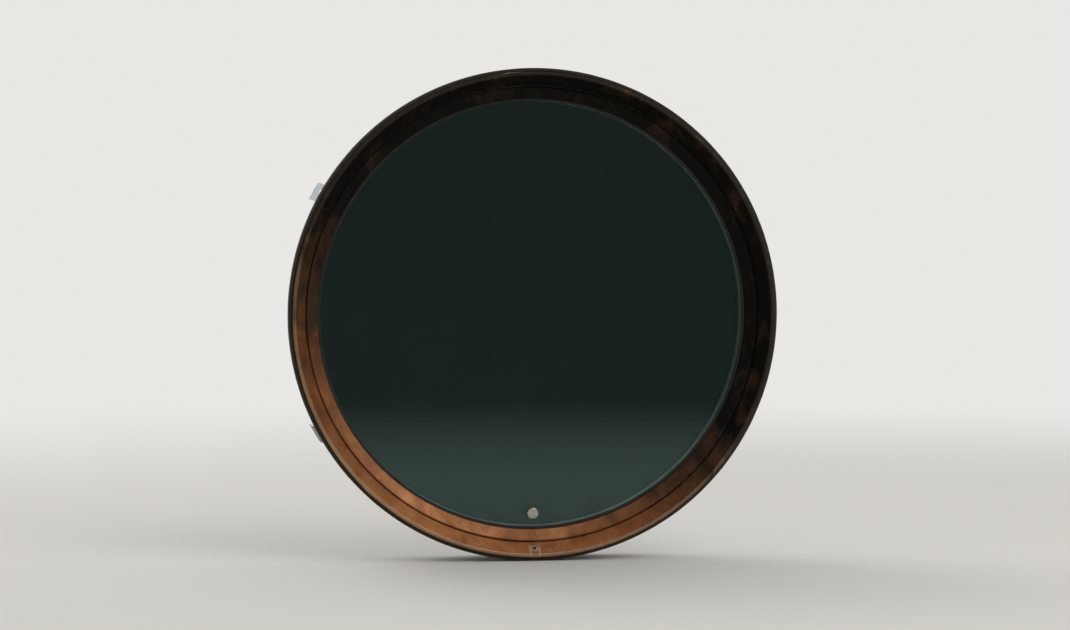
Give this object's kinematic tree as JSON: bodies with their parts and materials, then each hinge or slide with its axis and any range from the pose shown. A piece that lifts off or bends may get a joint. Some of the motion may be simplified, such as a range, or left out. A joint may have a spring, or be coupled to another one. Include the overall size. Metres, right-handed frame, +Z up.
{
  "type": "porthole window",
  "caption": "Round fixed window with a funnel-shaped weathered copper ring, double glazing, a thermally separated frame and anchor lugs for a round wall opening.",
  "frame": {"origin": "on the axis of the window, in the plane where the joint to the wall begins: the front face of the joint tape", "axes": "-Y towards the outside (the viewer), +Y towards the room along the axis of the round frame, +Z up, +X to the right seen from outside"},
  "size_m": [0.6499, 0.1344, 0.65],
  "materials": {
    "copper": "weathered copper sheet, brown patina with brighter orange where it is washed",
    "stainless": "satin stainless steel",
    "mill_aluminium": "mill finish",
    "coated_aluminium": "dark bronze powder coat, fine matt",
    "spacer_metal": "bright spacer bar",
    "polyamide": "glass-filled polyamide, matt black",
    "gasket_rubber": "black EPDM",
    "sealant": "black butyl and sealant",
    "foam_tape": "dark grey open-cell foam",
    "drying_agent": "beige beads",
    "outer_glass": "clear float glass with a green cast",
    "inner_glass": "deep grey-green tinted glass",
    "block_plastic": "moulded glazing block",
    "zinc_steel": "galvanised"
  },
  "bodies": {
    "root": {"anchor_lug_1": "zinc_steel", "anchor_lug_2": "zinc_steel", "anchor_lug_3": "zinc_steel", "anchor_lug_4": "zinc_steel", "anchor_lug_5": "zinc_steel", "anchor_lug_6": "zinc_steel", "bead_cap": "copper", "bead_tape": "sealant", "button_pad": "sealant", "desiccant_ring": "drying_agent", "edge_seal": "sealant", "facing_ring": "copper", "facing_tape": "sealant", "glass_button": "stainless", "glazing_bead": "mill_aluminium", "inner_butyl_seal": "sealant", "inner_frame_ring": "coated_aluminium", "inner_gasket": "gasket_rubber", "inner_pane": "inner_glass", "joint_tape": "foam_tape", "location_block_1": "block_plastic", "location_block_2": "block_plastic", "location_block_3": "block_plastic", "location_block_4": "block_plastic", "lug_screws": "zinc_steel", "outer_butyl_seal": "sealant", "outer_frame_ring": "mill_aluminium", "outer_gasket": "gasket_rubber", "outer_pane": "outer_glass", "setting_block_1": "block_plastic", "setting_block_2": "block_plastic", "skirt_tape": "sealant", "spacer_ring": "spacer_metal", "thermal_break_inner": "polyamide", "thermal_break_outer": "polyamide", "weep_eyelet": "stainless"}
  },
  "joints": []
}
